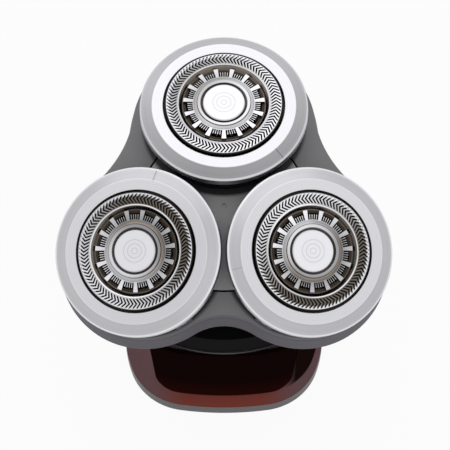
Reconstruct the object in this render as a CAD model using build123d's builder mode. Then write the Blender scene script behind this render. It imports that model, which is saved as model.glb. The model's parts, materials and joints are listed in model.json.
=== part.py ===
"""Rotary shaver head: three tilting shaving units on a lobed housing, its gear train, neck and hollow base.

Millimetres, +Z up, origin at the centre of the base's bottom rim, front of the head towards -Y.
The head leans forward on the base, so its pieces are built about the head axis and then set on HEAD.
Each shaving unit leans outward on the head, so its pieces are built about the cutter axis and set on UNITS.
"""

from math import atan2, cos, degrees, pi, radians, sin, sqrt
import os

from build123d import *

os.makedirs("parts", exist_ok=True)

# Driving dimensions: layout of the head on its base
HEAD_HEIGHT = 50.0  # height of the ring plane's centre above the bottom rim
HEAD_SETBACK = -1.5  # the ring plane's centre, along Y
HEAD_LEAN = 15.0  # the head axis leans forward by this angle
UNIT_COUNT = 3
RING_SPACING = 1.62  # room between neighbouring rings, for their tilt
UNIT_LEAN = 15.2  # each cutter axis leans outward by this angle
UNIT_ANGLES = {"back": 90.0, "left": 210.0, "right": 330.0}
FIT_GAP = 0.1  # clearance of pieces that are assembled but don't move
RUN_GAP = 0.05  # radial clearance of a shaft in its bearing

# Skin ring: inner lip, flat band, bevel and skirt
RING_BORE_R = 10.5
RING_BAND = 1.85  # width of the flat band
RING_WIDTH = 4.0
RING_EDGE = 0.3  # small bevel at the outer edge
RING_BAND_DROP = 0.12
RING_BEVEL_DROP = 0.8
RING_LIP = 1.2  # thickness at the bore
RING_HEIGHT = 2.4
RING_WALL = 0.9
INDEX_ANGLE = -135.0  # small line across the bevel, from the outward direction
INDEX_WIDTH = 0.25
INDEX_DEPTH = 0.15

# Shaving cap: thin steel pressing with an outer slotted track, a channel and an inner slotted track
CAP_GAP = 0.35  # dark gap between the cap and the ring
CAP_SHEET = 0.45
CAP_TRACK_Z = 0.5
CAP_FLANGE_LAP = 0.9  # the flange reaches this far under the ring's lip
CAP_FLANGE = 0.6
TRACK = 2.1  # width of the outer track
BEAD_WIDTH = 0.3
BEAD_RISE = 0.1
CHANNEL_SLOPE = 0.55
CHANNEL_FLAT = 0.2
CHANNEL_DEPTH = 0.6
INNER_TRACK = 1.75  # width of the inner track
INNER_TRACK_Z = 0.4
PLATEAU = 1.25  # width of the stepped plateau round the disc
PLATEAU_Z = 0.75
STEP = 0.6  # width of its lower, sloping step
STEP_Z = 0.55
STEP_EDGE = 0.1
DISC_SEAT_Z = 0.2
OUTER_SLOTS = 90
SLOT_WIDTH = 0.34
SLOT_BEND = 4.0  # each half of a bent slot slants by this angle about the cutter axis
SLOT_END = 0.1  # metal left at each end of an outer slot
INNER_BARS = 15
FINGER_SLOTS = 5
FINGER_PITCH = 3.8  # degrees between slots of one window
FINGER_SLOT_WIDTH = 0.28
COMB = 0.75  # the slots of one window join over this depth at their outer ends

# Centre disc of the cap
DISC_GAP = 0.35
DISC_Z = 0.75
DISC_EDGE = 0.15

# Cutter, its driver and the coupling spindle
CUTTER_GAP = 0.12  # blade tip to the inside of the cap
CUTTER_Z = -1.5
CUTTER_SHEET = 0.5
CUTTER_CLEAR = 0.25  # cutter to the cap's walls
CUTTER_HOLE_R = 0.5
BLADE_COUNT = 15
BLADE_SHEET = 0.4
BLADE_RAKE = 25.0
DRIVER_BORE_R = 3.0
DRIVER_R = 4.2
DRIVER_TOP = -1.2
DRIVER_BOTTOM = -4.4
HEX_ACROSS = 3.0  # coupling spindle, across flats
HEX_ENGAGED = 2.1
COLLAR_R = 2.6
COLLAR = 0.7
WASHER_SHEET = 0.2
WASHER_RISE = 0.5
SPINDLE_END = -11.4

# Carrier cup, retainer and pivot
CARRIER_WALL = 1.3  # at the foot
CARRIER_FOOT_Z = -6.4
CARRIER_TAPER_Z = -2.6
CARRIER_FLOOR = 1.2
RETAINER_LAP = 0.8  # step in the carrier that seats the retainer
CARRIER_HOLE_R = 3.4
RETAINER = 1.0
RETAINER_CLEAR = 0.4  # retainer to the cutter
PIVOT_Z = -5.2
PIVOT_R = 0.7
PIVOT_SKIN = 0.2  # left between the end of a pin's seat and the inside of the carrier
EAR_WIDTH = 3.2
EAR = 1.0
EAR_TOP = -4.1
EAR_GAP = 0.15

# Head housing: a lobed dome in two shells with a round hub cover
DOME_TOP = -2.8
BACK_LOBE_LAP = 0.73  # the back lobe is larger than its ring in the ring plane, and is drafted from there
BACK_LOBE_SHIFT = 2.63  # its centre lies inside the cutter axis
FRONT_LOBE_INSET = 0.1  # the front lobes are smaller than their rings
FRONT_LOBE_SHIFT = 2.89
FRONT_LOBE_TURN = 2.13  # their centres lie further round to the back than the cutter axes
SIDE_FILLET = 19.9  # waists between the back lobe and the front ones
FRONT_FILLET = 12.1  # waist over the neck
POCKET_GAP = 1.0
HUB_INSET = 2.85  # the hub cover's edge lies inside the cutter axes
SEAM = 0.3
COVER_SHEET = 1.4
HUB_SHEET = 1.8
GATE_MARK_R = 0.45
GATE_MARK_DEPTH = 0.25
SKIRT_DRAFT = 6.0
SKIRT_DEPTH = 6.2  # from the dome to the skirt's lower edge
PARTING = 0.15
WALL = 1.4
FLOOR_TOP = -11.4
FLOOR_SHEET = 1.2

# Gear train
SPINDLE_MEET = -10.87  # depth at which a coupling spindle crosses its gear's axis
SUN_TEETH = 12
PLANET_TEETH = 24
GEAR_TOP = -13.1
GEAR_WIDTH = 2.8
SOCKET_R = 4.3
SOCKET_TOP = -9.2
SOCKET_DEPTH = 2.6
SOCKET_ACROSS = 5.4
CASE_GAP = 0.4
CASE_WALL = 0.8
CASE_FLOOR_TOP = -16.4
CASE_BOTTOM = -17.6
PLANET_PIN_R = 1.2
PLANET_PIN_TOP = -12.8
SHAFT_TOP = -12.8
END_GAP = 0.2
BOSS_LAP = 0.12  # the screw bosses run into the walls round the gears
BOSS_R = 2.4
SCREW_R = 0.8
SCREW_HEAD_R = 1.5
SCREW_HEAD = 1.0
SHAFT_R = 2.0
SHAFT_END = -35.0
COUPLING_R = 3.2
COUPLING_BORE_R = 1.5
COUPLING_BORE = 6.0
COUPLING_LENGTH = 8.0
BUSH_WALL = 1.2
BUSH_FLANGE = 0.8

# Neck and base
NECK_R = 9.5
NECK_WALL = 1.5
BASE_FRONT = 17.85
FRONT_R = 55.0  # the footprint's arcs, from the middle of the front round to the back
FRONT_SWEEP = 8.4
CORNER_R = 11.2
CORNER_SWEEP = 61.6
FLANK_R = 22.0
SIDE_LENGTH = 3.8
COVER_SPLIT_Y = 3.0  # front and rear covers part here
BASE_RING = 2.4
BASE_WALL = 2.2
DECK_DROP = 25.3  # from the ring plane's centre down to the deck
COVER_BEVEL = 3.0  # the covers' lower band slopes outward over this height
COVER_INSET = 0.8
COVER_SPLIT_GAP = 0.1
TRIM = 0.5
TRIM_PROUD = 0.35
DECK = 2.2
DECK_FRONT = 16.4
DECK_FRONT_R = 24.5
DECK_SLOPE = 30.0
RIM_LAP = 1.6  # the base ring's tongue inside the covers
TONGUE_WALL = 1.2
PLATE = 1.6  # bottom plate, flush with the ring's lower face
PLATE_INSET = 2.7
PLATE_DRIVE_R = 3.0  # way in for the handle's drive pin
PLATE_HOLE_R = 1.1
PLATE_HOLES = (20.0, 12.0)
WINDOW_SHEET = 0.8
WINDOW_MARGIN = 0.4  # from the band below
WINDOW_FOOT = 24.0  # width at the bottom
WINDOW_HEAD = 26.6  # width at the top
WINDOW_CORNER = 3.5

# Worked out from the driving dimensions
half_pitch = radians(180 / UNIT_COUNT)
unit_lean = radians(UNIT_LEAN)
RING_OUTER_R = RING_BORE_R + RING_WIDTH
ring_half_width = RING_OUTER_R * sqrt((cos(unit_lean) * sin(half_pitch)) ** 2 + cos(half_pitch) ** 2)
UNIT_RADIUS = (ring_half_width + RING_SPACING / 2) / sin(half_pitch)  # cutter axes, in the ring plane
DOME_R = UNIT_RADIUS / sin(unit_lean)  # the units stand square on the dome
BACK_LOBE_R = RING_OUTER_R + BACK_LOBE_LAP
BACK_LOBE_RADIUS = UNIT_RADIUS - BACK_LOBE_SHIFT  # lobe centres
FRONT_LOBE_R = RING_OUTER_R - FRONT_LOBE_INSET
FRONT_LOBE_RADIUS = UNIT_RADIUS - FRONT_LOBE_SHIFT
LOBES = [  # angle and distance of the centre, radius, and fillet of the waist that follows
    (UNIT_ANGLES["back"], BACK_LOBE_RADIUS, BACK_LOBE_R, SIDE_FILLET),
    (UNIT_ANGLES["left"] - FRONT_LOBE_TURN, FRONT_LOBE_RADIUS, FRONT_LOBE_R, FRONT_FILLET),
    (UNIT_ANGLES["right"] + FRONT_LOBE_TURN, FRONT_LOBE_RADIUS, FRONT_LOBE_R, SIDE_FILLET),
]
HUB_R = UNIT_RADIUS - HUB_INSET
RING_BAND_R = RING_BORE_R + RING_BAND
CAP_R = RING_BORE_R - CAP_GAP
CAP_FLANGE_R = RING_BORE_R + CAP_FLANGE_LAP
TRACK_INNER_R = CAP_R - TRACK
CHANNEL_R = TRACK_INNER_R - BEAD_WIDTH - CHANNEL_SLOPE
INNER_TRACK_R = CHANNEL_R - CHANNEL_FLAT
PLATEAU_R = INNER_TRACK_R - INNER_TRACK
DISC_SEAT_R = PLATEAU_R - PLATEAU
DISC_R = DISC_SEAT_R - DISC_GAP
CUTTER_R = CAP_R - CAP_SHEET - CUTTER_CLEAR
CARRIER_R = RING_OUTER_R - RING_WALL - FIT_GAP
CARRIER_INNER_R = CAP_FLANGE_R - RETAINER_LAP
CARRIER_FOOT_R = CARRIER_INNER_R + CARRIER_WALL
POCKET_R = CARRIER_FOOT_R + POCKET_GAP
PIVOT_ROOT = CARRIER_INNER_R + PIVOT_SKIN
ear_share = (CARRIER_TAPER_Z - EAR_TOP) / (CARRIER_TAPER_Z - CARRIER_FOOT_Z)
EAR_FACE = CARRIER_R - (CARRIER_R - CARRIER_FOOT_R) * ear_share + EAR_GAP  # clears the tapering carrier
PIVOT_REACH = EAR_FACE + EAR
PLANET_DISTANCE = UNIT_RADIUS + SPINDLE_MEET * sin(unit_lean)
GEAR_MODULE = 2 * PLANET_DISTANCE / (SUN_TEETH + PLANET_TEETH)
COVER_TOP = HEAD_HEIGHT - DECK_DROP - DECK - TRIM
COVER_SLOPE = degrees(atan2(COVER_INSET, COVER_BEVEL))

HEAD = Plane(
    origin=(0, HEAD_SETBACK, HEAD_HEIGHT),
    x_dir=(1, 0, 0),
    z_dir=(0, -sin(radians(HEAD_LEAN)), cos(radians(HEAD_LEAN))),
)


def unit_plane(angle):
    """Plane of one shaving unit in head coordinates: x points outward, z along the cutter axis."""
    out = Vector(cos(radians(angle)), sin(radians(angle)), 0)
    return Plane(
        origin=out * UNIT_RADIUS,
        x_dir=out * cos(unit_lean) - Vector(0, 0, sin(unit_lean)),
        z_dir=out * sin(unit_lean) + Vector(0, 0, cos(unit_lean)),
    )


UNITS = {name: unit_plane(angle) for name, angle in UNIT_ANGLES.items()}


def save(name, solid, *planes):
    """Sets a finished piece on its planes, innermost first, and writes its STEP file."""
    for plane in planes:
        solid = solid.moved(plane.location)
    solid.label = name
    export_step(solid, f"parts/{name}.step")


def save_per_unit(kind, solid):
    """Writes one copy of a unit's piece for each of the three shaving units."""
    for name, plane in UNITS.items():
        save(f"{name}_{kind}", solid, plane, HEAD)


def turned(*profile):
    """Solid of revolution about Z from (radius, height) corners."""
    with BuildPart() as piece:
        with BuildSketch(Plane.XZ):
            with BuildLine():
                Polyline(*profile, close=True)
            make_face()
        revolve(axis=Axis.Z)
    return piece.part


# Skin ring
ring_bevel_z = -RING_BAND_DROP - RING_BEVEL_DROP
ring_blank = turned(
    (RING_BORE_R, 0),
    (RING_BAND_R, -RING_BAND_DROP),
    (RING_OUTER_R - RING_EDGE, ring_bevel_z),
    (RING_OUTER_R, ring_bevel_z - RING_EDGE),
    (RING_OUTER_R, -RING_HEIGHT),
    (RING_OUTER_R - RING_WALL, -RING_HEIGHT),
    (RING_OUTER_R - RING_WALL, -RING_LIP),
    (RING_BORE_R, -RING_LIP),
)
with BuildPart() as ring:
    add(ring_blank)
    bevel_slope = atan2(RING_BEVEL_DROP, RING_OUTER_R - RING_EDGE - RING_BAND_R)
    bevel_out = Vector(cos(bevel_slope), 0, -sin(bevel_slope)).rotate(Axis.Z, INDEX_ANGLE)
    bevel_up = Vector(sin(bevel_slope), 0, cos(bevel_slope)).rotate(Axis.Z, INDEX_ANGLE)
    bevel_foot = Vector(RING_BAND_R, 0, -RING_BAND_DROP).rotate(Axis.Z, INDEX_ANGLE)
    with BuildSketch(Plane(bevel_foot - bevel_up * INDEX_DEPTH, bevel_out, bevel_up)):
        Rectangle(RING_OUTER_R, INDEX_WIDTH, align=(Align.MIN, Align.CENTER))
    extrude(amount=RING_LIP, mode=Mode.SUBTRACT)
save_per_unit("skin_ring", ring.part)

# Shaving cap
flange_top = -RING_LIP - FIT_GAP
flange_bottom = flange_top - CAP_FLANGE
track_edge_r = CAP_R - CAP_SHEET / 2
track_under_z = CAP_TRACK_Z - CAP_SHEET
channel_z = CAP_TRACK_Z - CHANNEL_DEPTH
bead_r = TRACK_INNER_R - BEAD_WIDTH
cap_blank = turned(
    (CAP_FLANGE_R, flange_bottom),
    (CAP_FLANGE_R, flange_top),
    (CAP_R, flange_top),
    (CAP_R, CAP_TRACK_Z - CAP_SHEET / 2),
    (track_edge_r, CAP_TRACK_Z),
    (TRACK_INNER_R, CAP_TRACK_Z),
    (TRACK_INNER_R - BEAD_WIDTH / 2, CAP_TRACK_Z + BEAD_RISE),
    (bead_r, CAP_TRACK_Z),
    (CHANNEL_R, channel_z),
    (INNER_TRACK_R, channel_z),
    (INNER_TRACK_R, INNER_TRACK_Z),
    (PLATEAU_R, INNER_TRACK_Z),
    (PLATEAU_R - STEP, STEP_Z),
    (PLATEAU_R - STEP - STEP_EDGE, PLATEAU_Z),
    (DISC_SEAT_R + STEP_EDGE, PLATEAU_Z),
    (DISC_SEAT_R, PLATEAU_Z - STEP_EDGE),
    (DISC_SEAT_R, DISC_SEAT_Z),
    (0, DISC_SEAT_Z),
    (0, INNER_TRACK_Z - CAP_SHEET),
    (INNER_TRACK_R - CAP_SHEET, INNER_TRACK_Z - CAP_SHEET),
    (INNER_TRACK_R - CAP_SHEET, channel_z - CAP_SHEET),
    (CHANNEL_R + CAP_SHEET / 2, channel_z - CAP_SHEET),
    (bead_r + CAP_SHEET / 2, track_under_z),
    (CAP_R - CAP_SHEET, track_under_z),
    (CAP_R - CAP_SHEET, flange_bottom),
)


def polar(radius, angle):
    return radius * cos(radians(angle)), radius * sin(radians(angle))


def chevron(inner_r, outer_r, width, bend):
    """Corners of a bent slot that runs outward along X, its kink at mid-length."""
    middle_r = (inner_r + outer_r) / 2
    edge = [(inner_r, 0), (middle_r, bend), (outer_r, 0)]
    near = [polar(r, a) for r, a in edge]
    far = [polar(r, a + width / r * 180 / pi) for r, a in reversed(edge)]
    return near + far


with BuildPart() as cap:
    add(cap_blank)
    with BuildSketch(Plane.XY.offset(CAP_TRACK_Z + BEAD_RISE)):
        with PolarLocations(0, OUTER_SLOTS):
            slot = chevron(TRACK_INNER_R + SLOT_END, track_edge_r - SLOT_END, SLOT_WIDTH, SLOT_BEND)
            Polygon(*slot, align=None)
    extrude(amount=-(CAP_SHEET + 2 * BEAD_RISE), mode=Mode.SUBTRACT)
    with BuildSketch(Plane.XY.offset(PLATEAU_Z)):
        slot_length = INNER_TRACK_R - PLATEAU_R
        for n in range(FINGER_SLOTS):
            first = (n - (FINGER_SLOTS - 1) / 2) * FINGER_PITCH
            with PolarLocations(PLATEAU_R + slot_length / 2 + CAP_SHEET / 4, INNER_BARS, start_angle=first):
                Rectangle(slot_length, FINGER_SLOT_WIDTH)
        comb_sweep = (FINGER_SLOTS - 1) * FINGER_PITCH
        comb_r = INNER_TRACK_R - COMB
        with PolarLocations(0, INNER_BARS):
            comb = [polar(comb_r, side * comb_sweep / 2) for side in (-1, 0, 1)]
            comb += [polar(INNER_TRACK_R + CAP_SHEET / 4, side * comb_sweep / 2) for side in (1, 0, -1)]
            Polygon(*comb, align=None)
    extrude(amount=-(PLATEAU_Z - INNER_TRACK_Z + CAP_SHEET + FIT_GAP), mode=Mode.SUBTRACT)
save_per_unit("shaving_cap", cap.part)

# Centre disc, seated in the cap
disc = turned(
    (0, DISC_SEAT_Z),
    (DISC_R, DISC_SEAT_Z),
    (DISC_R, DISC_Z - DISC_EDGE),
    (DISC_R - DISC_EDGE, DISC_Z),
    (0, DISC_Z),
)
save_per_unit("centre_disc", disc)

# Cutter: a flat steel wheel with raked blades under both tracks
with BuildPart() as cutter:
    with BuildSketch(Plane.XY.offset(CUTTER_Z)):
        Circle(CUTTER_R)
        Circle(DRIVER_BORE_R, mode=Mode.SUBTRACT)
        with PolarLocations((CUTTER_R + DRIVER_R) / 2, BLADE_COUNT, start_angle=180 / BLADE_COUNT):
            Circle(CUTTER_HOLE_R, mode=Mode.SUBTRACT)
    extrude(amount=-CUTTER_SHEET)
    for (blade_in, blade_out), roof in (
        ((TRACK_INNER_R + CUTTER_CLEAR, CUTTER_R), track_under_z),
        ((PLATEAU_R + CUTTER_CLEAR, INNER_TRACK_R - CAP_SHEET - CUTTER_CLEAR), INNER_TRACK_Z - CAP_SHEET),
    ):
        with BuildSketch(Plane.XY.offset(CUTTER_Z)):
            with PolarLocations((blade_in + blade_out) / 2, BLADE_COUNT):
                Rectangle(blade_out - blade_in, BLADE_SHEET, rotation=BLADE_RAKE)
        extrude(amount=roof - CUTTER_GAP - CUTTER_Z)
save_per_unit("cutter", cutter.part)

# Plastic driver under the cutter, with a hexagonal socket
with BuildPart() as driver:
    add(
        turned(
            (0, DRIVER_TOP),
            (DRIVER_BORE_R, DRIVER_TOP),
            (DRIVER_BORE_R, CUTTER_Z - CUTTER_SHEET),
            (DRIVER_R, CUTTER_Z - CUTTER_SHEET),
            (DRIVER_R, DRIVER_BOTTOM),
            (0, DRIVER_BOTTOM),
        )
    )
    with BuildSketch(Plane.XY.offset(DRIVER_BOTTOM)):
        RegularPolygon(HEX_ACROSS / 2, 6, major_radius=False)
    extrude(amount=HEX_ENGAGED, mode=Mode.SUBTRACT)
save_per_unit("cutter_driver", driver.part)

# Coupling spindle: a hexagonal bar with a collar that carries the spring washer
collar_top = DRIVER_BOTTOM - WASHER_RISE
with BuildPart() as spindle:
    with BuildSketch(Plane.XY.offset(DRIVER_BOTTOM + HEX_ENGAGED)):
        RegularPolygon(HEX_ACROSS / 2, 6, major_radius=False)
    extrude(amount=SPINDLE_END - DRIVER_BOTTOM - HEX_ENGAGED)
    with BuildSketch(Plane.XY.offset(collar_top)):
        Circle(COLLAR_R)
    extrude(amount=-COLLAR)
save_per_unit("coupling_spindle", spindle.part)

# Conical spring washer between the collar and the driver
washer_bore_r = HEX_ACROSS / sqrt(3) + FIT_GAP
washer = turned(
    (washer_bore_r, DRIVER_BOTTOM),
    (washer_bore_r, DRIVER_BOTTOM - WASHER_SHEET),
    (COLLAR_R, collar_top),
    (COLLAR_R, collar_top + WASHER_SHEET),
)
save_per_unit("spring_washer", washer)

# Retainer that clamps the cap's flange under the ring's lip
retainer_r = CAP_FLANGE_R
retainer_bottom = flange_bottom - RETAINER
retainer = turned(
    (CUTTER_R + RETAINER_CLEAR, flange_bottom),
    (retainer_r, flange_bottom),
    (retainer_r, retainer_bottom),
    (CUTTER_R + RETAINER_CLEAR, retainer_bottom),
)
save_per_unit("cap_retainer", retainer)

# Carrier cup, hung on two pivot pins
with BuildPart() as carrier:
    add(
        turned(
            (retainer_r + FIT_GAP, -RING_LIP),
            (CARRIER_R, -RING_LIP),
            (CARRIER_R, CARRIER_TAPER_Z),
            (CARRIER_FOOT_R, CARRIER_FOOT_Z),
            (CARRIER_HOLE_R, CARRIER_FOOT_Z),
            (CARRIER_HOLE_R, CARRIER_FOOT_Z + CARRIER_FLOOR),
            (CARRIER_INNER_R, CARRIER_FOOT_Z + CARRIER_FLOOR),
            (CARRIER_INNER_R, retainer_bottom),
            (retainer_r + FIT_GAP, retainer_bottom),
        )
    )
    for side in (-1, 1):
        with BuildSketch(Plane((0, side * PIVOT_ROOT, PIVOT_Z), z_dir=(0, side, 0))):
            Circle(PIVOT_R)
        extrude(amount=PIVOT_REACH - PIVOT_ROOT, mode=Mode.SUBTRACT)
save_per_unit("carrier", carrier.part)

with BuildPart() as pivot_pins:
    for side in (-1, 1):
        with BuildSketch(Plane((0, side * PIVOT_ROOT, PIVOT_Z), z_dir=(0, side, 0))):
            Circle(PIVOT_R)
        extrude(amount=PIVOT_REACH - PIVOT_ROOT)
save_per_unit("pivot_pins", pivot_pins.part)


# Head housing
def lobes(grow=0):
    """Round lobes under the shaving units, joined by concave waists, the whole outline drawn outward by grow."""
    arcs = []
    for lobe, following in zip(LOBES, LOBES[1:] + LOBES[:1]):
        (angle, distance, radius, fillet), (next_angle, next_distance, next_radius, _) = lobe, following
        middle, next_middle = Vector(*polar(distance, angle)), Vector(*polar(next_distance, next_angle))
        reach, next_reach = radius + fillet, next_radius + fillet
        span = next_middle - middle
        along = (reach**2 - next_reach**2 + span.length**2) / (2 * span.length)
        across = span.normalized().rotate(Axis.Z, -90) * sqrt(reach**2 - along**2)
        waist = middle + span.normalized() * along + across  # centre of a waist arc
        start = middle + (waist - middle) * ((radius + grow) / reach)
        end = next_middle + (waist - next_middle) * ((next_radius + grow) / next_reach)
        dip = waist + ((start + end) * 0.5 - waist).normalized() * (fillet - grow)
        arcs.append((polar(distance + radius + grow, angle), start, dip, end))
    with BuildSketch() as outline:
        with BuildLine():
            for before, (peak, start, dip, end) in zip(arcs[-1:] + arcs[:-1], arcs):
                ThreePointArc(before[-1], peak, start)
                ThreePointArc(start, dip, end)
        make_face()
    return outline.sketch


def dome_layer(upper, lower):
    """Spherical shell between two depths under the top of the dome, wider than the head."""
    reach = UNIT_RADIUS + 2 * RING_OUTER_R
    drop = DOME_R - sqrt(DOME_R**2 - reach**2)
    with BuildPart() as layer:
        with BuildSketch(Plane.XZ):
            with BuildLine():
                top, bottom = DOME_TOP - upper, DOME_TOP - lower
                RadiusArc((0, top), (reach, top - drop), DOME_R)
                Line((reach, top - drop), (reach, bottom - drop))
                RadiusArc((reach, bottom - drop), (0, bottom), -DOME_R)
                Line((0, bottom), (0, top))
            make_face()
        revolve(axis=Axis.Z)
    return layer.part


def unit_pockets(radius, depth):
    """Round pockets along the three cutter axes."""
    with BuildPart() as pockets:
        for plane in UNITS.values():
            with BuildSketch(plane):
                Circle(radius)
            extrude(amount=-depth)
    return pockets.part


housing_depth = -CASE_BOTTOM
with BuildPart() as cover:
    add(lobes())
    extrude(amount=-housing_depth, taper=-SKIRT_DRAFT)
    with BuildSketch():
        Circle(HUB_R + SEAM)
    extrude(amount=-housing_depth, mode=Mode.SUBTRACT)
    add(unit_pockets(POCKET_R, 2 * housing_depth), mode=Mode.SUBTRACT)
    add(dome_layer(0, COVER_SHEET), mode=Mode.INTERSECT)
    ear_length = EAR + FIT_GAP
    for plane in UNITS.values():
        with BuildSketch(plane.offset(EAR_TOP)):
            for side in (-1, 1):
                with Locations((0, side * (EAR_FACE + ear_length / 2))):
                    Rectangle(EAR_WIDTH, ear_length)
        extrude(amount=2 * (PIVOT_Z - EAR_TOP) - COVER_SHEET)
    for plane in UNITS.values():
        pivot = Plane(origin=plane.from_local_coords((0, 0, PIVOT_Z)), z_dir=plane.y_dir)
        with BuildSketch(pivot):
            Circle(PIVOT_R + RUN_GAP)
        extrude(amount=PIVOT_REACH + 2 * FIT_GAP, both=True, mode=Mode.SUBTRACT)
save("head_cover", cover.part, HEAD)

with BuildPart() as hub_cover:
    with BuildSketch():
        Circle(HUB_R)
    extrude(amount=-housing_depth)
    add(dome_layer(0, HUB_SHEET), mode=Mode.INTERSECT)
    add(unit_pockets(POCKET_R, housing_depth), mode=Mode.SUBTRACT)
    with BuildSketch(Plane.XY.offset(DOME_TOP - GATE_MARK_DEPTH)):
        Circle(GATE_MARK_R)
    extrude(amount=GATE_MARK_DEPTH, mode=Mode.SUBTRACT)
save("hub_cover", hub_cover.part, HEAD)

# Lower housing: drafted skirt round a flat floor over the gears
planet_tip_r = GEAR_MODULE * (PLANET_TEETH / 2 + 1)
sun_tip_r = GEAR_MODULE * (SUN_TEETH / 2 + 1)
planet_case_r = planet_tip_r + CASE_GAP + CASE_WALL
boss_reach = planet_case_r + BOSS_R - BOSS_LAP
planet_along, planet_across = polar(PLANET_DISTANCE, 180 / UNIT_COUNT)
boss_radius = planet_along + sqrt(boss_reach**2 - planet_across**2)
floor_bottom = FLOOR_TOP - FLOOR_SHEET
back_angle = UNIT_ANGLES["back"]
boss_angle = back_angle + 180 / UNIT_COUNT
with BuildPart() as housing_floor:
    with BuildSketch(Plane.XY.offset(FLOOR_TOP)):
        add(lobes())
        with PolarLocations(PLANET_DISTANCE, UNIT_COUNT, start_angle=back_angle):
            Circle(SOCKET_R + CASE_GAP, mode=Mode.SUBTRACT)
        with PolarLocations(boss_radius, UNIT_COUNT, start_angle=boss_angle):
            Circle(SCREW_R, mode=Mode.SUBTRACT)
    extrude(amount=-FLOOR_SHEET)
    add(dome_layer(COVER_SHEET + PARTING, housing_depth), mode=Mode.INTERSECT)
with BuildPart() as housing:
    add(lobes())
    extrude(amount=-2 * housing_depth, taper=-SKIRT_DRAFT)
    add(lobes(-WALL))
    extrude(amount=-2 * housing_depth, taper=-SKIRT_DRAFT, mode=Mode.SUBTRACT)
    add(dome_layer(COVER_SHEET + PARTING, SKIRT_DEPTH), mode=Mode.INTERSECT)
    add(housing_floor.part)
save("lower_housing", housing.part, HEAD)

# Gear case under the floor
bush_r = SHAFT_R + RUN_GAP + BUSH_WALL
with BuildPart() as gear_case:
    with BuildSketch(Plane.XY.offset(CASE_BOTTOM)):
        Circle(NECK_R + CASE_WALL)
        with PolarLocations(PLANET_DISTANCE, UNIT_COUNT, start_angle=back_angle):
            Circle(planet_case_r)
        with PolarLocations(boss_radius, UNIT_COUNT, start_angle=boss_angle):
            Circle(BOSS_R)
        with PolarLocations(boss_radius, UNIT_COUNT, start_angle=boss_angle):
            Circle(SCREW_R, mode=Mode.SUBTRACT)
        Circle(bush_r, mode=Mode.SUBTRACT)
    extrude(amount=floor_bottom - CASE_BOTTOM)
    with BuildSketch(Plane.XY.offset(floor_bottom)):
        Circle(sun_tip_r + CASE_GAP)
        with PolarLocations(PLANET_DISTANCE, UNIT_COUNT, start_angle=back_angle):
            Circle(planet_tip_r + CASE_GAP)
    extrude(amount=CASE_FLOOR_TOP - floor_bottom, mode=Mode.SUBTRACT)
    with BuildSketch(Plane.XY.offset(CASE_FLOOR_TOP)):
        with PolarLocations(PLANET_DISTANCE, UNIT_COUNT, start_angle=back_angle):
            Circle(PLANET_PIN_R)
    extrude(amount=PLANET_PIN_TOP - CASE_FLOOR_TOP)
save("gear_case", gear_case.part, HEAD)

with BuildPart() as screws:
    for depth, radius, length in (
        (CASE_BOTTOM, SCREW_HEAD_R, -SCREW_HEAD),
        (CASE_BOTTOM, SCREW_R, FLOOR_TOP - CASE_BOTTOM),
    ):
        with BuildSketch(Plane.XY.offset(depth)):
            with PolarLocations(boss_radius, UNIT_COUNT, start_angle=boss_angle):
                Circle(radius)
        extrude(amount=length)
save("case_screws", screws.part, HEAD)


# Gears
def gear_outline(teeth, phase):
    """Corners of a spur gear with straight-flanked teeth, thinned for backlash."""
    pitch_r = GEAR_MODULE * teeth / 2
    pitch = 360 / teeth
    corners = []
    for n in range(teeth):
        middle = phase + n * pitch
        for reach, share in ((-1.2, -0.29), (0.85, -0.1), (0.85, 0.1), (-1.2, 0.29)):
            corners.append(polar(pitch_r + reach * GEAR_MODULE, middle + share * pitch))
    return corners


with BuildPart() as sun_gear:
    with BuildSketch(Plane.XY.offset(GEAR_TOP)):
        Polygon(*gear_outline(SUN_TEETH, back_angle), align=None)
        Circle(SHAFT_R, mode=Mode.SUBTRACT)
    extrude(amount=-GEAR_WIDTH)
save("sun_gear", sun_gear.part, HEAD)

with BuildPart() as planet:
    with BuildSketch(Plane.XY.offset(GEAR_TOP)):
        Polygon(*gear_outline(PLANET_TEETH, 180 / PLANET_TEETH), align=None)
    extrude(amount=-GEAR_WIDTH)
    with BuildSketch(Plane.XY.offset(GEAR_TOP)):
        Circle(SOCKET_R)
    extrude(amount=SOCKET_TOP - GEAR_TOP)
    with BuildSketch(Plane.XY.offset(SOCKET_TOP)):
        RegularPolygon(SOCKET_ACROSS / 2, 6, major_radius=False)
    extrude(amount=-SOCKET_DEPTH, mode=Mode.SUBTRACT)
    with BuildSketch(Plane.XY.offset(GEAR_TOP - GEAR_WIDTH)):
        Circle(PLANET_PIN_R + RUN_GAP)
    extrude(amount=PLANET_PIN_TOP + END_GAP - GEAR_TOP + GEAR_WIDTH, mode=Mode.SUBTRACT)
for unit_name, unit_angle in UNIT_ANGLES.items():
    save(f"{unit_name}_gear", planet.part, Plane(polar(PLANET_DISTANCE, unit_angle)), HEAD)

# Drive shaft with its coupling socket, in a flanged bush
coupling_top = SHAFT_END + COUPLING_LENGTH
shaft = turned(
    (0, SHAFT_TOP),
    (SHAFT_R, SHAFT_TOP),
    (SHAFT_R, coupling_top),
    (COUPLING_R, coupling_top),
    (COUPLING_R, SHAFT_END),
    (COUPLING_BORE_R, SHAFT_END),
    (COUPLING_BORE_R, SHAFT_END + COUPLING_BORE),
    (0, SHAFT_END + COUPLING_BORE),
)
save("drive_shaft", shaft, HEAD)

bush = turned(
    (SHAFT_R + RUN_GAP, CASE_FLOOR_TOP),
    (bush_r, CASE_FLOOR_TOP),
    (bush_r, CASE_BOTTOM),
    (bush_r + BUSH_WALL, CASE_BOTTOM),
    (bush_r + BUSH_WALL, CASE_BOTTOM - BUSH_FLANGE),
    (SHAFT_R + RUN_GAP, CASE_BOTTOM - BUSH_FLANGE),
)
save("shaft_bush", bush, HEAD)


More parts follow.
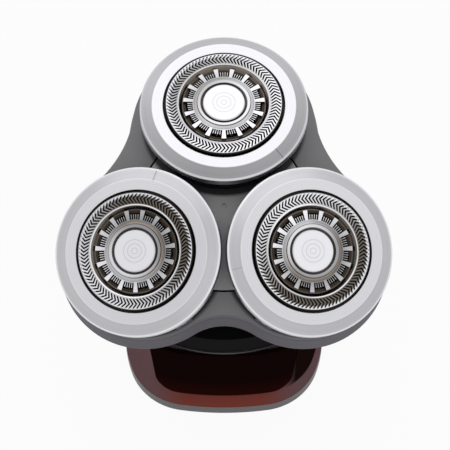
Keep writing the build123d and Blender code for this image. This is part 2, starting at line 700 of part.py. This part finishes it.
# Base
def base_outline(inset):
    """Footprint of the base, a chain of tangent arcs, moved inward by the inset."""
    with BuildSketch() as outline:
        with BuildLine():
            front = JernArc((0, -BASE_FRONT), (1, 0), FRONT_R, FRONT_SWEEP)
            corner = JernArc(front @ 1, front % 1, CORNER_R, CORNER_SWEEP)
            flank = JernArc(corner @ 1, corner % 1, FLANK_R, 90 - FRONT_SWEEP - CORNER_SWEEP)
            side = Line(flank @ 1, flank @ 1 + (0, SIDE_LENGTH))
            JernArc(side @ 1, (0, 1), (side @ 1).X, 90)
            mirror(about=Plane.YZ)
        make_face()
        if inset:
            offset(amount=-inset, mode=Mode.REPLACE)
    return outline.sketch


def deck_outline(inset):
    """Edge of the deck: the covers' outline, rounder at the front."""
    with BuildSketch() as outline:
        add(base_outline(COVER_INSET + inset))
        with Locations((0, DECK_FRONT_R - DECK_FRONT)):
            Circle(DECK_FRONT_R - inset, mode=Mode.INTERSECT)
    return outline.sketch


deck_bottom = COVER_TOP + TRIM
with BuildPart() as neck:
    with BuildSketch(Plane.XY.offset(deck_bottom)):
        add(deck_outline(0))
    extrude(amount=DECK, taper=DECK_SLOPE)
    with BuildSketch(HEAD.offset(CASE_BOTTOM)):
        Circle(NECK_R)
    extrude(amount=-HEAD_HEIGHT)
    with BuildSketch(HEAD.offset(CASE_BOTTOM)):
        Circle(NECK_R - NECK_WALL)
    extrude(amount=-HEAD_HEIGHT, mode=Mode.SUBTRACT)
    with BuildSketch(Plane.XY.offset(deck_bottom)):
        Rectangle(2 * HEAD_HEIGHT, 2 * HEAD_HEIGHT)
    extrude(amount=-HEAD_HEIGHT, mode=Mode.SUBTRACT)
save("neck", neck.part)

tongue_inset = COVER_INSET + BASE_WALL + FIT_GAP
ring_inset = tongue_inset + TONGUE_WALL
with BuildPart() as trim_ring:
    with BuildSketch(Plane.XY.offset(COVER_TOP)):
        add(deck_outline(-TRIM_PROUD))
        add(base_outline(COVER_INSET + BASE_WALL), mode=Mode.SUBTRACT)
    extrude(amount=TRIM)
save("trim_ring", trim_ring.part)

with BuildPart() as base_ring:
    with BuildSketch():
        add(base_outline(0))
        add(base_outline(ring_inset), mode=Mode.SUBTRACT)
    extrude(amount=BASE_RING)
    with BuildSketch():
        add(base_outline(PLATE_INSET - FIT_GAP))
    extrude(amount=PLATE, mode=Mode.SUBTRACT)
    with BuildSketch(Plane.XY.offset(BASE_RING)):
        add(base_outline(tongue_inset))
        add(base_outline(ring_inset), mode=Mode.SUBTRACT)
    extrude(amount=RIM_LAP)
save("base_ring", base_ring.part)

with BuildPart() as base_plate:
    with BuildSketch():
        add(base_outline(PLATE_INSET))
        with GridLocations(*PLATE_HOLES, 2, 2):
            Circle(PLATE_HOLE_R, mode=Mode.SUBTRACT)
    extrude(amount=PLATE)
    with BuildSketch(HEAD.offset(SHAFT_END)):
        Circle(PLATE_DRIVE_R)
    extrude(amount=-HEAD_HEIGHT, mode=Mode.SUBTRACT)
save("base_plate", base_plate.part)


def front_panel(gap):
    """Dark panel let into the front face, wider at its top, grown by a gap."""
    bottom = BASE_RING + COVER_BEVEL + WINDOW_MARGIN - gap
    foot_x, head_x = WINDOW_FOOT / 2 + gap, WINDOW_HEAD / 2 + gap
    with BuildPart() as panel:
        with BuildSketch(Plane.XZ) as face:
            corners = (-foot_x, bottom), (foot_x, bottom), (head_x, COVER_TOP), (-head_x, COVER_TOP)
            Polygon(*corners, align=None)
            fillet(face.vertices().group_by(Axis.Y)[0], WINDOW_CORNER + gap)
        extrude(amount=BASE_FRONT)
        with BuildSketch():
            add(base_outline(COVER_INSET))
            add(base_outline(COVER_INSET + WINDOW_SHEET + gap), mode=Mode.SUBTRACT)
        extrude(amount=COVER_TOP, mode=Mode.INTERSECT)
    return panel.part


save("front_window", front_panel(0))


def base_cover(front):
    """Front or rear half of the base's wall, with a sloping band round its foot."""
    side = -1 if front else 1
    with BuildPart() as half:
        with BuildSketch(Plane.XY.offset(BASE_RING)):
            add(base_outline(0))
        extrude(amount=COVER_BEVEL, taper=COVER_SLOPE)
        with BuildSketch(Plane.XY.offset(BASE_RING + COVER_BEVEL)):
            add(base_outline(COVER_INSET))
        extrude(amount=COVER_TOP - BASE_RING - COVER_BEVEL)
        with BuildSketch(Plane.XY.offset(BASE_RING)):
            add(base_outline(COVER_INSET + BASE_WALL))
        extrude(amount=COVER_TOP - BASE_RING, mode=Mode.SUBTRACT)
        middle = COVER_SPLIT_Y + side * (BASE_FRONT + COVER_SPLIT_GAP / 2 + BASE_FRONT)
        with BuildSketch():
            with Locations((0, middle)):
                Rectangle(4 * BASE_FRONT, 4 * BASE_FRONT)
        extrude(amount=COVER_TOP, mode=Mode.INTERSECT)
        if front:
            add(front_panel(FIT_GAP), mode=Mode.SUBTRACT)
    return half.part


save("front_cover", base_cover(front=True))
save("rear_cover", base_cover(front=False))
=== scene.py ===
"""Looks of the rotary shaver head: satin rings, slotted steel caps, dark plastic and a gloss base."""

import json
from math import cos, pi, radians, sin

import bpy
from mathutils import Matrix, Vector

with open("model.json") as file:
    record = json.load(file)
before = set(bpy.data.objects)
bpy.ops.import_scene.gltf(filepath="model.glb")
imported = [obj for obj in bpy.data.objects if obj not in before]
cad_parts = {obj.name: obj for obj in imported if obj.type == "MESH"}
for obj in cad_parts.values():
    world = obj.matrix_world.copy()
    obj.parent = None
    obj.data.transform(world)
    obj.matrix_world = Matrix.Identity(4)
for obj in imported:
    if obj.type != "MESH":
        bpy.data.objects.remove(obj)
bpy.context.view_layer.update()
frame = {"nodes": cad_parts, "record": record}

joints = {joint["name"]: joint for joint in frame["record"]["behaviour"]["joints"]}
UNITS = ("back", "left", "right")
MM = 0.001

# The photograph's view: camera above the head's middle, leaning to the front
VIEW_FROM_VERTICAL = radians(28.79)
VIEW_DISTANCE = 450 * MM
PIXELS = 450
PIXELS_PER_MM = 5.885  # at the head's middle
HEAD_PIXEL = (223.9, 201.9)  # where the photograph shows the head's middle
SENSOR = 36.0
CLIP_START, CLIP_END = 0.01, 10.0

# Studio
FLOOR_SIZE = 3.0
FLOOR_GAP = 0.1 * MM
FLOOR_COLOUR = (0.92, 0.92, 0.92, 1)
FLOOR_ROUGHNESS = 0.8
FLOOR_GLOW = 0.93  # share of plain white in what is seen of the floor; the rest takes the shadow
WHITE = (1, 1, 1, 1)
WORLD_LEVEL = 0.6
KEY_LIGHT = ((-0.1, 0.45, 0.75), 1.0, 1.45)  # place, size and power
FILL_LIGHT = ((0.3, -0.5, 0.7), 0.8, 0.4)

# Fine detail of the finishes: noise scales, relief heights, softened edges, shares that values vary by
BEVEL_SAMPLES = 6
GRAIN_CLOUD, GRAIN_SCALE = 90.0, 3200.0
GRAIN_RELIEF, GRAIN_EDGE, GRAIN_VARY = 0.04 * MM, 0.15 * MM, 0.08
GLOSS_SPECKS, GLOSS_WAVES = 1500.0, 120.0
GLOSS_RELIEF, GLOSS_EDGE, GLOSS_VARY = 0.01 * MM, 0.2 * MM, 0.2
SATIN_CLOUD, SATIN_SCALE, SATIN_SHADE = 140.0, 1800.0, 0.94
SATIN_RELIEF, SATIN_EDGE, SATIN_VARY = 0.004 * MM, 0.1 * MM, 0.1
TURNED_CLOUD, TURNED_LINES, TURNED_TONES = 500.0, 5000.0, (0.86, 1.14)
TURNED_RELIEF, TURNED_EDGE, TURNED_VARY = 0.002 * MM, 0.06 * MM, 0.15

SPIN_JOINT_DEPTH = 2 * MM  # the cutter joints lie this far under the ring plane


def unit_frame(name):
    """Origin in the ring plane, and rotation, of one shaving unit: z along the cutter axis, x outward."""
    spin, tilt = joints[f"{name}_cutter_spin"], joints[f"{name}_tilt"]
    axis = Vector(spin["axis"]).normalized()
    side = Vector(tilt["axis"]).normalized()
    origin = Vector(spin["pos_m"]) + axis * SPIN_JOINT_DEPTH
    return origin, Matrix((side.cross(axis), side, axis)).transposed()


unit_frames = {name: unit_frame(name) for name in UNITS}
head_middle = sum((origin for origin, _ in unit_frames.values()), Vector()) / len(UNITS)
head_axis = Vector(joints["drive_spin"]["axis"]).normalized()


# Node helpers
def new_material(name):
    """Material with an empty node tree but for its shader and output."""
    material = bpy.data.materials.new(name)
    material.use_nodes = True
    tree = material.node_tree
    return material, tree, tree.nodes["Principled BSDF"]


def node(tree, kind, inputs=None, **settings):
    """Adds a node; inputs maps socket names or numbers to a value or to another node's output."""
    new = tree.nodes.new(kind)
    for key, value in settings.items():
        setattr(new, key, value)
    for key, value in (inputs or {}).items():
        if isinstance(value, bpy.types.NodeSocket):
            tree.links.new(value, new.inputs[key])
        else:
            new.inputs[key].default_value = value
    return new


def set_inputs(tree, shader, **inputs):
    """Sets or links the shader's inputs, named with underscores for spaces."""
    for key, value in inputs.items():
        socket = shader.inputs[key.replace("_", " ")]
        if isinstance(value, bpy.types.NodeSocket):
            tree.links.new(value, socket)
        else:
            socket.default_value = value


def object_coordinates(tree):
    return node(tree, "ShaderNodeTexCoord").outputs["Object"]


def unit_coordinates(tree, name):
    """Coordinates in one shaving unit's own frame."""
    origin, rotation = unit_frames[name]
    turned = node(
        tree,
        "ShaderNodeMapping",
        {"Vector": object_coordinates(tree), "Location": origin, "Rotation": rotation.to_euler()},
        vector_type="TEXTURE",
    )
    return turned.outputs["Vector"]


def separated(tree, coordinates):
    return node(tree, "ShaderNodeSeparateXYZ", {0: coordinates}).outputs


def computed(tree, operation, *values):
    return node(tree, "ShaderNodeMath", dict(enumerate(values)), operation=operation).outputs[0]


def radius_from_axis(tree, coordinates):
    flat = node(tree, "ShaderNodeVectorMath", {0: coordinates, 1: (1, 1, 0)}, operation="MULTIPLY")
    return node(tree, "ShaderNodeVectorMath", {0: flat.outputs[0]}, operation="LENGTH").outputs["Value"]


def angle_round_axis(tree, coordinates):
    parts = separated(tree, coordinates)
    return computed(tree, "ARCTAN2", parts["Y"], parts["X"])


def noise(tree, coordinates, scale):
    return node(tree, "ShaderNodeTexNoise", {"Vector": coordinates, "Scale": scale}).outputs["Fac"]


def spread(tree, value, low, high, start=0.0, end=1.0):
    """Maps start..end to low..high."""
    inputs = {"Value": value, "From Min": start, "From Max": end, "To Min": low, "To Max": high}
    return node(tree, "ShaderNodeMapRange", inputs).outputs["Result"]


def rise(tree, value, span):
    """0 up to the start of a span of values, 1 from its end on."""
    return spread(tree, value, 0.0, 1.0, *span)


def varied(tree, value, level, share):
    """A level that varies by a share of itself."""
    return spread(tree, value, level * (1 - share), level * (1 + share))


def mixed(tree, value, first, second):
    """Mixes two colours, or two colour outputs, by a value."""
    mix = node(tree, "ShaderNodeMix", {"Factor": value}, data_type="RGBA")
    for key, colour in (("A", first), ("B", second)):
        if isinstance(colour, bpy.types.NodeSocket):
            tree.links.new(colour, mix.inputs[key])
        else:
            mix.inputs[key].default_value = (*colour, 1)
    return mix.outputs["Result"]


def scaled(tree, colour, value):
    return node(tree, "ShaderNodeVectorMath", {0: colour, "Scale": value}, operation="SCALE").outputs[0]


def banded(tree, value, stops):
    """Colours along a value; stops are (value, colour) pairs."""
    reach = stops[-1][0]
    ramp = node(tree, "ShaderNodeValToRGB", {"Fac": rise(tree, value, (0.0, reach))})
    elements = ramp.color_ramp.elements
    for n, (place, colour) in enumerate(stops):
        stop = elements[n] if n < len(elements) else elements.new(1.0)
        stop.position = place / reach
        stop.color = (*colour, 1)
    return ramp.outputs["Color"]


def relief(tree, height, distance, edge):
    """Normal of a fine relief on a surface whose edges are softened."""
    soft = node(tree, "ShaderNodeBevel", {"Radius": edge}, samples=BEVEL_SAMPLES).outputs[0]
    inputs = {"Height": height, "Distance": distance, "Normal": soft}
    return node(tree, "ShaderNodeBump", inputs).outputs["Normal"]


# Colours, and the places where they change
BLACK = (0.006, 0.006, 0.007)
# colour of the lower housing; the covers' sides take it as painted shade
SKIRT_COLOUR = (0.07, 0.064, 0.082)
SHADED_SIDE_SPAN = (0.6, 0.8)  # cosines between which a face counts as side, darkened as painted shade, and as top
POCKET_SHADE_EDGE = (13.9 * MM, 14.5 * MM)  # radii of the fading edge of the black painted shade round the pockets
MAROON_SPAN = (3 * MM, 14 * MM)  # heights over which the front cover darkens
WINDOW_SPAN = (5 * MM, 12 * MM)
# painted sheen: the flanks' purple-grey grazing reflection
FLANK_SHEEN = (0.165, 0.092, 0.098)
FLANK_SHEEN_SPAN = (7 * MM, 13 * MM)  # distances to the side over which the front turns to the flank's painted sheen
SHADE_COLOUR = (0.012, 0.005, 0.004)  # painted dark reflection on the right flank, over its sloping foot
SHADE_SIDE = (11 * MM, 13 * MM)
SHADE_FOOT = (5.2 * MM, 6.0 * MM)
# painted shade in the cap's windows
HOLLOW_SHADE_BROWN = (0.035, 0.026, 0.019)
CAP_SHADED_HOLLOWS = (-0.05 * MM, 0.4 * MM)  # heights over the ring plane under which the cap's windows take painted shade
CHANNEL_EDGE = (7.0 * MM, 7.1 * MM)
# painted light: each unit's lit side, as its angle from the outward direction and the cosines over which it
# turns to painted shade
CAP_LIGHT = {"back": (225, -1.6, 0.2), "left": (15, -0.5, 0.9), "right": (157, -0.3, 1.0)}
RING_LIGHT = {"back": (0, -1.0, 0.6), "left": (-30, -1.0, 1.0), "right": (100, -1.0, 1.0)}
RING_RADII = (10.4, 10.6, 12.28, 12.35, 12.45, 14.1, 14.3, 15.0)  # in millimetres
WARM_BELOW = 0.25  # lightness under which the metal looks warm
WARM, COOL = (1, 0.88, 0.76), (1, 1, 1.04)


def metal(level):
    """Metal colour of a lightness: bluish when light, warm when dark."""
    return [level * share for share in (WARM if level < WARM_BELOW else COOL)]


def tones(*stops):
    """Metal colours at radii given in millimetres."""
    return [(radius * MM, metal(level)) for radius, level in stops]


def ring_tones(*levels):
    """Metal colours of a skin ring: its lip, flat band, the band's edge, bevel, rim and skirt; the lip is
    dark as painted shade, the band's edge and the rim are light as painted highlights.
    """
    return tones(*zip(RING_RADII, levels))


# Painted reflections: tones of the metal from the axis outward; a ring has those of its painted lit side
# first, then of its painted shaded side, and the back ring is painted lighter than the front ones
BACK_RING = (
    ring_tones(0.1, 0.68, 0.68, 0.8, 0.48, 0.48, 0.7, 0.5),
    ring_tones(0.1, 0.68, 0.68, 0.6, 0.3, 0.28, 0.6, 0.3),
)
FRONT_RING = (
    ring_tones(0.1, 0.63, 0.63, 0.75, 0.51, 0.5, 0.8, 0.5),
    ring_tones(0.1, 0.57, 0.57, 0.68, 0.45, 0.46, 0.8, 0.5),
)
RING_TONES = {"back": BACK_RING, "left": FRONT_RING, "right": FRONT_RING}
DISC_TONES = tones(
    (0.0, 0.7),
    (0.4, 0.7),
    (0.5, 0.5),
    (0.6, 0.7),
    (1.1, 0.7),
    (1.2, 0.5),
    (1.3, 0.7),
    (1.8, 0.7),
    (1.9, 0.5),
    (2.0, 0.7),
    (3.3, 0.72),
    (3.5, 0.6),
    (3.8, 0.3),
)
# painted reflections of the caps' steel: lit and shaded sides, bright bars and lines as painted highlights,
# the gap to the ring black as painted shade
CAP_LIT = tones(
    (3.9, 0.04),
    (4.05, 0.7),
    (4.5, 0.6),
    (4.6, 0.2),
    (4.75, 0.5),
    (5.2, 0.36),
    (5.35, 0.7),
    (7.0, 0.8),
    (7.06, 0.06),
    (7.2, 0.14),
    (7.74, 0.24),
    (7.82, 0.85),
    (7.94, 0.85),
    (8.02, 0.4),
    (8.15, 0.7),
    (9.85, 0.75),
    (9.98, 0.02),
    (12.0, 0.01),
)
CAP_SHADED = tones(
    (3.9, 0.04),
    (4.05, 0.34),
    (4.5, 0.26),
    (4.6, 0.1),
    (4.75, 0.24),
    (5.2, 0.12),
    (5.35, 0.3),
    (7.0, 0.45),
    (7.06, 0.05),
    (7.2, 0.1),
    (7.74, 0.14),
    (7.82, 0.7),
    (7.94, 0.7),
    (8.02, 0.12),
    (8.15, 0.14),
    (9.3, 0.12),
    (9.5, 0.5),
    (9.85, 0.8),
    (9.98, 0.02),
    (12.0, 0.01),
)
# the cutters are nearly black, as painted shade under the caps
CUTTER_TONES = tones((0.0, 0.03), (10.0, 0.03))


# Materials
def upward(tree):
    """0 on the head's sides, 1 on faces that look along its axis; covers darken the sides as painted shade.
    """
    normal = node(tree, "ShaderNodeNewGeometry").outputs["True Normal"]
    facing = node(tree, "ShaderNodeVectorMath", {0: normal, 1: head_axis}, operation="DOT_PRODUCT")
    return rise(tree, facing.outputs["Value"], SHADED_SIDE_SPAN)


def outside_pocket_shade(tree, name):
    """0 round one unit's cutter axis, 1 outside the black painted shade round its pocket."""
    return rise(tree, radius_from_axis(tree, unit_coordinates(tree, name)), POCKET_SHADE_EDGE)


def grained_plastic(name, colour, roughness, specular=0.4, painted_shade_pockets=()):
    """Moulded plastic with a fine spark-eroded grain.

    A cover has its sides darkened as painted shade, and black painted shade round the pockets of the units
    given.
    """
    material, tree, shader = new_material(name)
    place = object_coordinates(tree)
    cloud = noise(tree, place, GRAIN_CLOUD)
    darker, lighter = ([c * share for c in colour] for share in (1 - GRAIN_VARY, 1 + GRAIN_VARY))
    tint = mixed(tree, cloud, darker, lighter)
    if painted_shade_pockets:
        # painted shade: the cover's faces turned to the side take the skirt's dark colour
        tint = mixed(tree, upward(tree), SKIRT_COLOUR, tint)
    # painted shade: black round the pockets of the units given
    for unit in painted_shade_pockets:
        tint = mixed(tree, outside_pocket_shade(tree, unit), BLACK, tint)
    set_inputs(
        tree,
        shader,
        Base_Color=tint,
        Roughness=varied(tree, cloud, roughness, GRAIN_VARY),
        Specular_IOR_Level=specular,
        Normal=relief(tree, noise(tree, place, GRAIN_SCALE), GRAIN_RELIEF, GRAIN_EDGE),
    )
    return material


def gloss_plastic(name, foot, head, span, roughness, flanks=False):
    """Lacquered plastic with a faint waviness.

    Its colour changes from foot to head over a span of heights, and on its flanks where it has them: a
    painted sheen on both, and a painted dark reflection on the right one.
    """
    material, tree, shader = new_material(name)
    place = object_coordinates(tree)
    parts = separated(tree, place)
    tint = mixed(tree, rise(tree, parts["Z"], span), foot, head)
    if flanks:
        # painted sheen on both flanks, and a painted dark reflection over the right flank's foot
        sheen_side = rise(tree, computed(tree, "ABSOLUTE", parts["X"]), FLANK_SHEEN_SPAN)
        right = rise(tree, parts["X"], SHADE_SIDE)
        shade = computed(tree, "MULTIPLY", right, rise(tree, parts["Z"], SHADE_FOOT))
        tint = mixed(tree, shade, mixed(tree, sheen_side, tint, FLANK_SHEEN), SHADE_COLOUR)
    set_inputs(
        tree,
        shader,
        Base_Color=tint,
        Roughness=varied(tree, noise(tree, place, GLOSS_SPECKS), roughness, GLOSS_VARY),
        Specular_IOR_Level=0.0,
        Normal=relief(tree, noise(tree, place, GLOSS_WAVES), GLOSS_RELIEF, GLOSS_EDGE),
    )
    return material


def satin_metal(name, colour, roughness):
    """Satin metal with a fine blasted grain."""
    material, tree, shader = new_material(name)
    place = object_coordinates(tree)
    grains = noise(tree, place, SATIN_SCALE)
    shaded = [c * SATIN_SHADE for c in colour]
    set_inputs(
        tree,
        shader,
        Base_Color=mixed(tree, noise(tree, place, SATIN_CLOUD), shaded, colour),
        Roughness=varied(tree, grains, roughness, SATIN_VARY),
        Metallic=1.0,
        Normal=relief(tree, grains, SATIN_RELIEF, SATIN_EDGE),
    )
    return material


def turned_metal(name, unit, lit, shaded, light, roughness, pitch, edge=TURNED_EDGE, shaded_hollows=None):
    """Metal with turning lines, coloured by distance from the unit's axis, with a painted lit side and a
    painted shaded side.

    light is the lit side's angle from the outward direction and the cosines between which the tones change;
    shaded_hollows gives the heights between which the cap's windows, inside its channel, turn dark and
    brown as painted shade.
    """
    material, tree, shader = new_material(name)
    place = unit_coordinates(tree, unit)
    radius = radius_from_axis(tree, place)
    lit_angle, *lit_span = light
    turn = computed(tree, "SUBTRACT", angle_round_axis(tree, place), radians(lit_angle))
    side = rise(tree, computed(tree, "COSINE", turn), lit_span)
    colour = mixed(tree, side, banded(tree, radius, shaded), banded(tree, radius, lit))
    if shaded_hollows:
        # painted shade: dark brown in the windows inside the channel
        outside = rise(tree, radius, CHANNEL_EDGE)
        clear = computed(tree, "MAXIMUM", outside, rise(tree, separated(tree, place)["Z"], shaded_hollows))
        colour = mixed(tree, clear, HOLLOW_SHADE_BROWN, colour)
    turning = noise(tree, node(tree, "ShaderNodeCombineXYZ", {"X": radius}).outputs[0], TURNED_LINES)
    lines = computed(tree, "SINE", computed(tree, "MULTIPLY", radius, 2 * pi / pitch))
    set_inputs(
        tree,
        shader,
        Base_Color=scaled(tree, colour, spread(tree, turning, *TURNED_TONES)),
        Roughness=varied(tree, noise(tree, place, TURNED_CLOUD), roughness, TURNED_VARY),
        Metallic=1.0,
        Normal=relief(tree, lines, TURNED_RELIEF, edge),
    )
    return material


dark_plastic = grained_plastic("dark_plastic", (0.165, 0.155, 0.172), roughness=0.5)
cover_plastic = grained_plastic("cover_plastic", (0.23, 0.226, 0.235), roughness=0.5, painted_shade_pockets=UNITS)
# painted light: the hub is lighter than the cover, standing in for the light it gets from the front
hub_plastic_painted_light = grained_plastic("hub_plastic_painted_light", (0.44, 0.435, 0.445), roughness=0.5, painted_shade_pockets=("back",))
skirt_plastic = grained_plastic("skirt_plastic", SKIRT_COLOUR, roughness=0.5, specular=0.25)
black_plastic = grained_plastic("black_plastic", BLACK, roughness=0.5, specular=0.08)
grey_plastic = grained_plastic("grey_plastic", (0.14, 0.13, 0.132), roughness=0.4, specular=0.2)
gear_plastic = grained_plastic("gear_plastic", (0.62, 0.61, 0.58), roughness=0.5)
# the front cover's flanks take a painted sheen and a painted dark reflection
maroon = gloss_plastic(
    "maroon_gloss",
    foot=(0.235, 0.056, 0.04),
    head=(0.045, 0.026, 0.03),
    span=MAROON_SPAN,
    roughness=0.25,
    flanks=True,
)
window = gloss_plastic(
    "window_gloss",
    foot=(0.024, 0.004, 0.003),
    head=(0.008, 0.0028, 0.0024),
    span=WINDOW_SPAN,
    roughness=0.12,
)
trim = satin_metal("trim_silver", (0.2, 0.2, 0.2), roughness=0.4)
steel = satin_metal("screw_steel", (0.5, 0.5, 0.51), roughness=0.35)
brass = satin_metal("brass", (0.55, 0.42, 0.2), roughness=0.35)

finishes = {
    "base_plate": black_plastic,
    "base_ring": grey_plastic,
    "front_cover": maroon,
    "front_window": window,
    "rear_cover": dark_plastic,
    "trim_ring": trim,
    "neck": black_plastic,
    "gear_case": black_plastic,
    "case_screws": steel,
    "shaft_bush": brass,
    "lower_housing": skirt_plastic,
    "head_cover": cover_plastic,
    "hub_cover": hub_plastic_painted_light,
    "drive_shaft": steel,
    "sun_gear": gear_plastic,
}
for unit in UNITS:
    # rings and caps carry painted reflections, highlights and shade
    ring_silver = turned_metal(
        f"{unit}_ring_silver",
        unit,
        *RING_TONES[unit],
        RING_LIGHT[unit],
        roughness=0.34,
        pitch=0.16 * MM,
        edge=0.12 * MM,
    )
    cap_steel = turned_metal(
        f"{unit}_cap_steel",
        unit,
        CAP_LIT,
        CAP_SHADED,
        CAP_LIGHT[unit],
        roughness=0.16,
        pitch=0.2 * MM,
        shaded_hollows=CAP_SHADED_HOLLOWS,
    )
    disc_silver, cutter_steel = (
        turned_metal(f"{unit}_{name}", unit, look, look, CAP_LIGHT[unit], roughness=0.3, pitch=0.3 * MM)
        for name, look in (("disc_silver", DISC_TONES), ("cutter_steel", CUTTER_TONES))
    )
    finishes |= {
        f"{unit}_gear": gear_plastic,
        f"{unit}_skin_ring": ring_silver,
        f"{unit}_shaving_cap": cap_steel,
        f"{unit}_centre_disc": disc_silver,
        f"{unit}_cap_retainer": black_plastic,
        f"{unit}_carrier": black_plastic,
        f"{unit}_pivot_pins": steel,
        f"{unit}_cutter": cutter_steel,
        f"{unit}_cutter_driver": gear_plastic,
        f"{unit}_coupling_spindle": steel,
        f"{unit}_spring_washer": steel,
    }
for name, material in finishes.items():
    piece = frame["nodes"][name]
    piece.data.materials.clear()
    piece.data.materials.append(material)


# Floor and light
def seen_rays(tree):
    """1 for rays that show the background: to the camera, in reflections and through clear pieces."""
    rays = node(tree, "ShaderNodeLightPath").outputs
    direct = computed(tree, "MAXIMUM", rays["Is Camera Ray"], rays["Is Glossy Ray"])
    return computed(tree, "MAXIMUM", direct, rays["Is Transmission Ray"])


bpy.ops.mesh.primitive_plane_add(size=FLOOR_SIZE, location=(0, 0, -FLOOR_GAP))
floor = bpy.context.object
floor.name = "floor"
floor_material, tree, shader = new_material("floor_white")
set_inputs(tree, shader, Base_Color=FLOOR_COLOUR, Roughness=FLOOR_ROUGHNESS)
glow = node(tree, "ShaderNodeEmission", {"Strength": 1.0})
share = computed(tree, "MULTIPLY", seen_rays(tree), FLOOR_GLOW)
both = node(tree, "ShaderNodeMixShader", {0: share, 1: shader.outputs[0], 2: glow.outputs[0]})
tree.links.new(both.outputs[0], tree.nodes["Material Output"].inputs["Surface"])
floor.data.materials.append(floor_material)

world = bpy.data.worlds.new("studio")
world.use_nodes = True
bpy.context.scene.world = world
tree = world.node_tree
level = spread(tree, seen_rays(tree), WORLD_LEVEL, 1.0)
set_inputs(tree, tree.nodes["Background"], Strength=level, Color=WHITE)


def softbox(name, place, size, power):
    """Square area light aimed at the middle of the head."""
    lamp = bpy.data.lights.new(name, "AREA")
    lamp.size = size
    lamp.energy = power
    holder = bpy.data.objects.new(name, lamp)
    holder.location = place
    holder.rotation_euler = (head_middle - Vector(place)).to_track_quat("-Z", "Y").to_euler()
    bpy.context.collection.objects.link(holder)


softbox("key", *KEY_LIGHT)
softbox("fill", *FILL_LIGHT)

# Camera
to_camera = Vector((0, -sin(VIEW_FROM_VERTICAL), cos(VIEW_FROM_VERTICAL)))
image_up = Vector((0, cos(VIEW_FROM_VERTICAL), sin(VIEW_FROM_VERTICAL)))
image_right = Vector((1, 0, 0))
right_shift, down_shift = ((PIXELS / 2 - pixel) / PIXELS_PER_MM * MM for pixel in HEAD_PIXEL)
camera_data = bpy.data.cameras.new("camera")
camera_data.sensor_width = SENSOR
camera_data.lens = SENSOR * PIXELS_PER_MM / MM * VIEW_DISTANCE / PIXELS
camera_data.clip_start = CLIP_START
camera_data.clip_end = CLIP_END
camera = bpy.data.objects.new("camera", camera_data)
camera.matrix_world = Matrix((image_right, image_up, to_camera)).transposed().to_4x4()
look_at = head_middle + image_right * right_shift - image_up * down_shift
camera.location = look_at + to_camera * VIEW_DISTANCE
bpy.context.collection.objects.link(camera)
bpy.context.scene.camera = camera
bpy.context.scene.view_settings.view_transform = "Standard"
